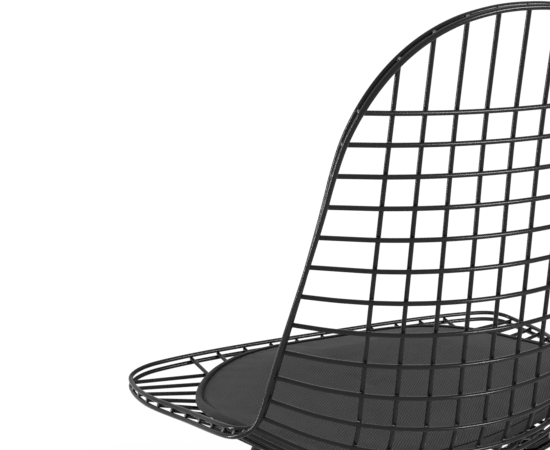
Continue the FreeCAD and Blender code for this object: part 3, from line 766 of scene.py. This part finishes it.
def height_of(tree, x, y, from_above):
    """Height of a node's top or underside at a place, or None beside it."""
    start, way = (1.0, -1.0) if from_above else (0.0, 1.0)
    hit = tree.ray_cast(Vector((x, y, start)), Vector((0, 0, way)))
    return hit[0].z if hit[0] else None


def smoothed(levels, passes):
    """Levels round a ring, eased between neighbours."""
    row = list(levels)
    for _ in range(passes):
        row = [(row[i - 1] + 2 * row[i] + row[(i + 1) % len(row)]) / 4 for i in range(len(row))]
    return row


class CHAIR_OT_seat_pad(Operator):
    """Sewn seat pad: a swollen top panel in a border roll"""

    bl_idname = "chair.seat_pad"
    bl_label = "Seat pad"

    ROLL_AROUND, ROLL_SIDES, ROLL_PASSES = 240, 20, 6
    FULLNESS = 0.8  # of the roll's section: 1 is an ellipse, and less is squarer
    # The cord is painted shade: a near-black thread in the groove between roll and panel.
    CORD_AROUND, CORD_SIDES, CORD_PASSES = 300, 8, 8
    CORD_READ = 0.0012  # inside the roll, where the panel's height is read for the cord
    CORD_UNDER = 0.0001  # from the roll's inner edge to the cord's middle
    CORD_SINK = 0.6  # of the cord, from that height to its middle
    PANEL_AROUND, PANEL_RINGS, PANEL_PASSES = 168, 30, 10
    PANEL_CROWDING, PANEL_SHARE = 1.1, 0.94  # power of the rings' spacing, and their share of the way in
    PANEL_READ = 0.0009  # inside the roll, where heights are read for the sewn rings
    EDGE_RINGS = (-0.0014, -0.0002, 0.0008, 0.002, 0.004, 0.007)  # from the roll's inner edge
    EDGE_DIPS = (1.0, 1.0, 0.62, 0.24, 0.05)  # of the groove, ring by ring
    SEWN_RINGS = 3  # held by the seam
    CLOTH = {
        "quality": 6,
        "mass": 0.25,
        "tension_stiffness": 12,
        "compression_stiffness": 12,
        "shear_stiffness": 6,
        "bending_stiffness": 0.6,
        "vertex_group_mass": "seam",
        "use_pressure": True,
        "uniform_pressure_force": 4.0,
    }
    CLOTH_FRAMES = 20

    def execute(self, context):
        self.border()
        self.cushion()
        self.seam()
        return {"FINISHED"}

    def seam(self):
        """Near-black cord at the bottom of the groove: painted shade where the roll meets the panel, drawn as
        a sewing thread.
        """
        tree = tree_of("pad_cushion")
        reads = pad_outline(sizes().roll + self.CORD_READ, self.CORD_AROUND)
        levels = smoothed([height_of(tree, p.x, p.y, True) for p, _ in reads], self.CORD_PASSES)
        line = [point for point, _ in pad_outline(sizes().roll - self.CORD_UNDER, self.CORD_AROUND)]
        path = [Vector((p.x, p.y, z - sizes().cord * self.CORD_SINK)) for p, z in zip(line, levels)]
        verts, faces = sweep(path, sizes().cord / 2, self.CORD_SIDES, closed=True)
        # The cord's colour is a tenth of the cloth's: painted shade of the seam's groove.
        thread = twill("seam_thread_painted_shade", darker(colours().cloth, 0.1), pitch=0.001, contrast=0.3)
        new_piece("seam_cord_painted_shade", verts, faces, thread)

    def border(self):
        """Border roll, on the heights of the CAD roll."""
        count, sides = self.ROLL_AROUND, self.ROLL_SIDES
        tree = tree_of("pad_border")
        middle = pad_outline(sizes().roll / 2, count)
        tops = smoothed([height_of(tree, p.x, p.y, True) for p, _ in middle], self.ROLL_PASSES)
        feet = smoothed([height_of(tree, p.x, p.y, False) for p, _ in middle], self.ROLL_PASSES)
        verts, faces = [], []
        for (point, inward), top, foot in zip(middle, tops, feet):
            half_wide = sizes().roll / 2
            half_high = (top - foot) / 2 + sizes().proud
            for k in range(sides):
                angle = FULL_TURN * k / sides
                cosine, sine = math.cos(angle), math.sin(angle)
                place = point + inward * (math.copysign(abs(cosine) ** self.FULLNESS, cosine) * half_wide)
                rise = math.copysign(abs(sine) ** self.FULLNESS, sine) * half_high
                verts.append((place.x, place.y, (top + foot) / 2 + rise))
        for i in range(count):
            faces += band(i * sides, (i + 1) % count * sides, sides, flipped=True)
        cloth = twill("binding_twill", colours().binding, pitch=0.0017, contrast=0.35)
        piece = new_piece("border_roll", verts, faces, cloth)
        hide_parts("pad_border")

    def panel(self):
        """Rings of the pad from under the roll to the middle, on its top and its underside."""
        tree = tree_of("pad_cushion")
        around = self.PANEL_AROUND
        insets = [sizes().roll + step for step in self.EDGE_RINGS]
        plans = [[point for point, _ in pad_outline(inset, around)] for inset in insets]
        last = plans[-1]
        middle = sum(last, Vector((0, 0))) / around
        for r in range(1, self.PANEL_RINGS):
            part = 1 - (r / (self.PANEL_RINGS - 1)) ** self.PANEL_CROWDING * self.PANEL_SHARE
            plans.append([middle + (point - middle) * part for point in last])
        known = [point for point, _ in pad_outline(sizes().roll + self.PANEL_READ, around)]
        tops, feet = [], []
        for r, plan in enumerate(plans):
            reads = known if r < self.SEWN_RINGS else plan
            tops.append([Vector((*p, height_of(tree, q.x, q.y, True))) for p, q in zip(plan, reads)])
            feet.append([Vector((*p, height_of(tree, q.x, q.y, False))) for p, q in zip(plan, reads)])
        for rows in (tops, feet):
            self.ease(rows)
        for row, dip in zip(tops, self.EDGE_DIPS):
            for point in row:
                point.z -= sizes().groove * dip
        return tops, feet

    def ease(self, rows):
        """Takes the flat patches of the CAD pad out of its heights."""
        levels = [[point.z for point in row] for row in rows]
        for _ in range(self.PANEL_PASSES):
            fresh = []
            for r, row in enumerate(levels):
                before = levels[max(r - 1, 0)]
                after = levels[min(r + 1, len(levels) - 1)]
                ring = []
                for k in range(len(row)):
                    beside = row[k - 1] + row[(k + 1) % len(row)]
                    ring.append((beside + before[k] + after[k] + 2 * row[k]) / 6)
                fresh.append(ring if r else smoothed(row, 1))
            levels = fresh
        for row, level in zip(rows, levels):
            for point, z in zip(row, level):
                point.z = z

    def cushion(self):
        """Closed panel: its swollen top, its underside and the wall between them."""
        tops, feet = self.panel()
        around = self.PANEL_AROUND
        verts = [point for row in tops for point in row]
        faces = []
        for r in range(len(tops) - 1):
            faces += band(r * around, (r + 1) * around, around)
        last = (len(tops) - 1) * around
        faces.append(tuple(range(last, last + around)))
        verts = self.swollen(verts, faces)
        under = len(verts)
        verts = verts + [point for row in feet for point in row]
        for r in range(len(feet) - 1):
            faces += band(under + (r + 1) * around, under + r * around, around)
        last = under + (len(feet) - 1) * around
        faces.append(tuple(reversed(range(last, last + around))))
        faces += band(0, under, around, flipped=True)
        cloth = twill("pad_twill", colours().cloth, pitch=0.0023, contrast=1.0)
        piece = new_piece("seat_cushion", verts, faces, cloth)
        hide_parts("pad_cushion")

    def swollen(self, verts, faces):
        """The panel after its filling has pressed it up, held at the seam."""
        scene = bpy.context.scene
        mesh = bpy.data.meshes.new("panel_sheet")
        mesh.from_pydata([tuple(vert) for vert in verts], [], faces)
        sheet = bpy.data.objects.new("panel_sheet", mesh)
        scene.collection.objects.link(sheet)
        held = sheet.vertex_groups.new(name="seam")
        held.add(list(range(self.SEWN_RINGS * self.PANEL_AROUND)), 1.0, "REPLACE")
        cloth = sheet.modifiers.new("cloth", "CLOTH")
        for key, value in self.CLOTH.items():
            setattr(cloth.settings, key, value)
        cloth.settings.effector_weights.gravity = 0.0
        cloth.collision_settings.use_collision = False
        cloth.point_cache.frame_start = 1
        cloth.point_cache.frame_end = self.CLOTH_FRAMES
        for number in range(1, self.CLOTH_FRAMES + 1):
            scene.frame_set(number)
        pressed = sheet.evaluated_get(bpy.context.evaluated_depsgraph_get())
        lifted = []
        for start, vert in zip(verts, pressed.to_mesh().vertices):
            move = vert.co - start
            if move.length > sizes().swell:
                move *= sizes().swell / move.length
            lifted.append(start + move)
        pressed.to_mesh_clear()
        bpy.data.objects.remove(sheet)
        scene.frame_set(1)
        return lifted


def rod_line(name):
    """Ends of a straight rod's middle line."""
    corners = triangles(name)
    points = corners.reshape(-1, 3)
    centre = points.mean(axis=0)
    far = points[np.linalg.norm(points - centre, axis=1).argmax()]
    other = points[np.linalg.norm(points - far, axis=1).argmax()]
    way = (other - far) / np.linalg.norm(other - far)
    for _ in range(2):
        span = (points - far) @ way
        low, high = span.min(), span.max()
        cuts = [far + way * (low + (high - low) * part) for part in (0.2, 0.8)]
        one, two = (slice_centre(corners, cut, way) for cut in cuts)
        way = (two - one) / np.linalg.norm(two - one)
    span = (points - one) @ way
    return Vector(one + way * span.min()), Vector(one + way * span.max())


def steps_along(line, steps):
    """Points in equal steps from one end of a line to the other."""
    start, end = line
    return [start.lerp(end, i / steps) for i in range(steps + 1)]


class CHAIR_OT_base_rods(Operator):
    """Round legs and crossed braces, welded where they meet"""

    bl_idname = "chair.base_rods"
    bl_label = "Base rods"

    BRACE_STEPS = 24
    SEARCH_STEPS = 400  # along two braces, for the place where they cross
    # half sizes of the beads, and how far they stand in from the rod's end
    BRACE_RISE, BRACE_LENGTH, BRACE_IN = 0.0011, 0.0026, 0.0022
    LEG_BEAD, LEG_IN = (0.0068, 0.0068, 0.0034), 0.003
    CROSSING_BEAD = (0.003, 0.003, 0.0018)

    def execute(self, context):
        lines = {name: rod_line(name) for name in LEGS + BRACES}
        for name in LEGS:
            NODES[name].data.materials.clear()
            NODES[name].data.materials.append(coat_material())
        beads = []
        for name in BRACES:
            verts, faces = sweep(
                steps_along(lines[name], self.BRACE_STEPS), sizes().brace / 2, sizes().sides + 4)
            piece = new_piece("round_" + name, verts, faces, coat_material())
            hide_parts(name)
            beads += self.brace_welds(*lines[name])
        for one, two in zip(BRACES[0::2], BRACES[1::2]):
            beads.append(self.crossing_weld(lines[one], lines[two]))
        for name in LEGS:
            foot, top = sorted(lines[name], key=lambda point: point.z)
            way = (top - foot).normalized()
            beads.append(blob(top - way * self.LEG_IN, axes_along(way), self.LEG_BEAD, rings=8, sides=20))
        verts, faces = gathered(beads)
        new_piece("rod_welds", verts, faces, weld_material())
        return {"FINISHED"}

    def brace_welds(self, start, end):
        """Collar of weld at both ends of a brace."""
        way = (end - start).normalized()
        wide = sizes().brace / 2 + self.BRACE_RISE
        beads = []
        for point, sign in ((start, 1), (end, -1)):
            place = point + way * sign * self.BRACE_IN
            beads.append(blob(place, axes_along(way), (wide, wide, self.BRACE_LENGTH), rings=8, sides=16))
        return beads

    def crossing_weld(self, one, two):
        """Bead between two crossed braces."""
        paths = [steps_along(line, self.SEARCH_STEPS) for line in (one, two)]
        _, i, j = nearest(*paths)
        here, there = paths[0][i], paths[1][j]
        axes = axes_over((there - here).normalized(), way_at(paths[0], i))
        return blob((here + there) / 2, axes, self.CROSSING_BEAD)


class CHAIR_OT_mounts(Operator):
    """Mount plates, leg tabs, rubber washers and bolts"""

    bl_idname = "chair.mounts"
    bl_label = "Mounts"

    PLATE_EASE, WASHER_EASE, BOLT_EASE = 0.0005, 0.0004, 0.0003
    EASE_STEPS = 2
    SHARP = math.radians(40)  # edges sharper than this are eased

    def execute(self, context):
        rubber = moulded("mount_rubber", colours().rubber, roughness=0.62, grain=0.3)
        zinc = zinc_steel("black_zinc", colours().zinc)
        looks = {
            "shell_mount_plates": (coat_material(), self.PLATE_EASE),
            "leg_tabs": (coat_material(), self.PLATE_EASE),
            "mount_washers": (rubber, self.WASHER_EASE),
            "mount_bolts": (zinc, self.BOLT_EASE),
        }
        for name, (material, ease) in looks.items():
            piece = NODES[name]
            piece.data.materials.clear()
            piece.data.materials.append(material)
            weld = piece.modifiers.new("joined", "WELD")
            weld.merge_threshold = SAME_POINT
            bevel = piece.modifiers.new("eased_edges", "BEVEL")
            bevel.width = ease
            bevel.segments = self.EASE_STEPS
            bevel.limit_method = "ANGLE"
            bevel.angle_limit = self.SHARP
            bevel.harden_normals = True
        return {"FINISHED"}


class CHAIR_OT_glides(Operator):
    """Turned foot glides under the legs"""

    bl_idname = "chair.glides"
    bl_label = "Glides"

    FOOT, NECK, HEIGHT = 0.0125, 0.0095, 0.021  # two radii and the height
    SIDES = 48

    def execute(self, context):
        low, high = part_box("foot_glides")
        wide, narrow, tall = self.FOOT, self.NECK, self.HEIGHT
        profile = [
            (0.0, 0.0), (wide * 0.82, 0.0), (wide - 0.0009, 0.0003), (wide - 0.0002, 0.0009),
            (wide, 0.0018), (wide - 0.0004, 0.0042), (wide - 0.0012, 0.0049), (wide - 0.0014, 0.0056),
            (narrow + 0.0004, tall - 0.0030), (narrow + 0.0002, tall - 0.0014),
            (narrow - 0.0004, tall - 0.0004), (narrow - 0.0012, tall), (narrow - 0.0022, tall - 0.0001),
            (narrow - 0.0029, tall - 0.0012), (0.0, tall - 0.0012),
        ]
        parts = []
        for x in (low.x + wide, high.x - wide):
            for y in (low.y + wide, high.y - wide):
                parts.append(turned(x, y, profile, self.SIDES))
        verts, faces = gathered(parts)
        plastic = moulded("glide_plastic", colours().glide, roughness=0.5, grain=0.35)
        piece = new_piece("turned_glides", verts, faces, plastic)
        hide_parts("foot_glides")
        return {"FINISHED"}


class CHAIR_OT_studio(Operator):
    """Pale floor, soft boxes, white surroundings and the camera"""

    bl_idname = "chair.studio"
    bl_label = "Studio"

    # place, target and size across of each soft box
    TOP_BOX = (0.1, -0.3, 2.4), (0.0, 0.0, 0.4), (1.8, 1.8)
    KEY_BOX = (-0.7, 1.5, 1.15), (0.0, 0.05, 0.55), (0.5, 0.5)
    SIDE_BOX = (1.5, -0.45, 0.6), (0.1, 0.15, 0.6), (0.14, 1.1)
    SENSOR = 36.0
    FLOOR_REACH, FLOOR_DROP = 14.0, 0.0004
    FLOOR_GLOW = 1.1  # strength of the floor's own white
    GLOW_NEAR, GLOW_MORE = 0.55, 0.38  # its share beside the chair, and how much more there is further out
    GLOW_FROM, GLOW_TO = 0.5, 1.3  # distances between which it grows

    def execute(self, context):
        studio = context.scene.chair_studio
        self.floor(studio)
        self.surroundings(context.scene, studio)
        self.soft_box("top_box", *self.TOP_BOX, studio.top)
        self.soft_box("key_box", *self.KEY_BOX, studio.key)
        self.soft_box("side_box", *self.SIDE_BOX, studio.side)
        self.camera(context.scene, studio)
        context.scene.view_settings.view_transform = "Standard"
        return {"FINISHED"}

    def camera(self, scene, studio):
        lens = bpy.data.cameras.new("camera")
        lens.lens = studio.lens
        lens.sensor_width = self.SENSOR
        lens.shift_x, lens.shift_y = studio.shift
        scene.camera = self.placed("camera", lens, studio.eye, studio.look)

    def soft_box(self, name, place, target, across, power):
        light = bpy.data.lights.new(name, "AREA")
        light.shape = "RECTANGLE"
        light.size, light.size_y = across
        light.energy = power
        self.placed(name, light, place, Vector(target) - Vector(place))

    def placed(self, name, data, place, look):
        """An object at a place, turned to look a way."""
        made = bpy.data.objects.new(name, data)
        bpy.context.scene.collection.objects.link(made)
        made.location = place
        made.rotation_mode = "QUATERNION"
        made.rotation_quaternion = Vector(look).to_track_quat("-Z", "Y")
        return made

    def floor(self, studio):
        """Floor that is white to the eye. Beside the chair more of it is matt, which keeps the shadow."""
        mesh = bpy.data.meshes.new("floor")
        reach, level = self.FLOOR_REACH, -self.FLOOR_DROP
        corners = [(-reach, -reach), (reach, -reach), (reach, reach), (-reach, reach)]
        mesh.from_pydata([(x, y, level) for x, y in corners], [], [(0, 1, 2, 3)])
        finish = material_finish("pale_floor")
        where = finish.place()
        grain = finish.noise(where, scale=40.0, detail=3.0)
        colour = finish.mix(grain, shade(studio.floor, 0.985), shade(studio.floor))
        matt = finish.node("ShaderNodeBsdfDiffuse", None, {"Color": colour})
        white = finish.node("ShaderNodeEmission", None, {"Color": WHITE, "Strength": self.FLOOR_GLOW})
        away = finish.node("ShaderNodeVectorMath", {"operation": "LENGTH"}, {0: where}, "Value")
        glow = self.GLOW_NEAR + self.GLOW_MORE * finish.ramp(away, self.GLOW_FROM, self.GLOW_TO)
        mixed = finish.node("ShaderNodeMixShader", None, {0: finish.seen() * glow, 1: matt, 2: white})
        mesh.materials.append(finish.closed(mixed))
        floor = bpy.data.objects.new("floor", mesh)
        bpy.context.scene.collection.objects.link(floor)

    def surroundings(self, scene, studio):
        """White to the eye and in reflections, with less light on the chair."""
        scene.world = bpy.data.worlds.new("surroundings")
        room = Finish(scene.world)
        seen = room.seen()
        strength = seen + (1.0 - seen) * studio.sky
        light = room.node("ShaderNodeBackground", None, {"Color": WHITE, "Strength": strength})
        room.closed(light, "ShaderNodeOutputWorld")


class CHAIR_PT_panel(Panel):
    """The chair's pieces and their sizes"""

    bl_idname = "CHAIR_PT_panel"
    bl_label = "Wire shell chair"
    bl_space_type = "VIEW_3D"
    bl_region_type = "UI"
    bl_category = "Chair"

    def draw(self, context):
        layout = self.layout
        for name, kind in GROUPS.items():
            box = layout.box()
            for key in kind.__annotations__:
                box.prop(getattr(context.scene, name), key)
        for operator in OPERATORS:
            layout.operator(operator.bl_idname)


OPERATORS = (
    CHAIR_OT_shell_wires,
    CHAIR_OT_rim_wires,
    CHAIR_OT_shell_welds,
    CHAIR_OT_seat_pad,
    CHAIR_OT_base_rods,
    CHAIR_OT_mounts,
    CHAIR_OT_glides,
    CHAIR_OT_studio,
)
GROUPS = {"chair_sizes": ChairSizes, "chair_colours": ChairColours, "chair_studio": ChairStudio}


def register():
    for kind in GROUPS.values():
        bpy.utils.register_class(kind)
    for name, kind in GROUPS.items():
        setattr(bpy.types.Scene, name, PointerProperty(type=kind))
    for operator in OPERATORS:
        bpy.utils.register_class(operator)
    bpy.utils.register_class(CHAIR_PT_panel)


def unregister():
    bpy.utils.unregister_class(CHAIR_PT_panel)
    for operator in reversed(OPERATORS):
        bpy.utils.unregister_class(operator)
    for name, kind in GROUPS.items():
        delattr(bpy.types.Scene, name)
        bpy.utils.unregister_class(kind)


def main():
    register()
    bpy.ops.chair.shell_wires()
    bpy.ops.chair.rim_wires()
    bpy.ops.chair.shell_welds()
    bpy.ops.chair.seat_pad()
    bpy.ops.chair.base_rods()
    bpy.ops.chair.mounts()
    bpy.ops.chair.glides()
    bpy.ops.chair.studio()


if __name__ == "__main__":
    main()
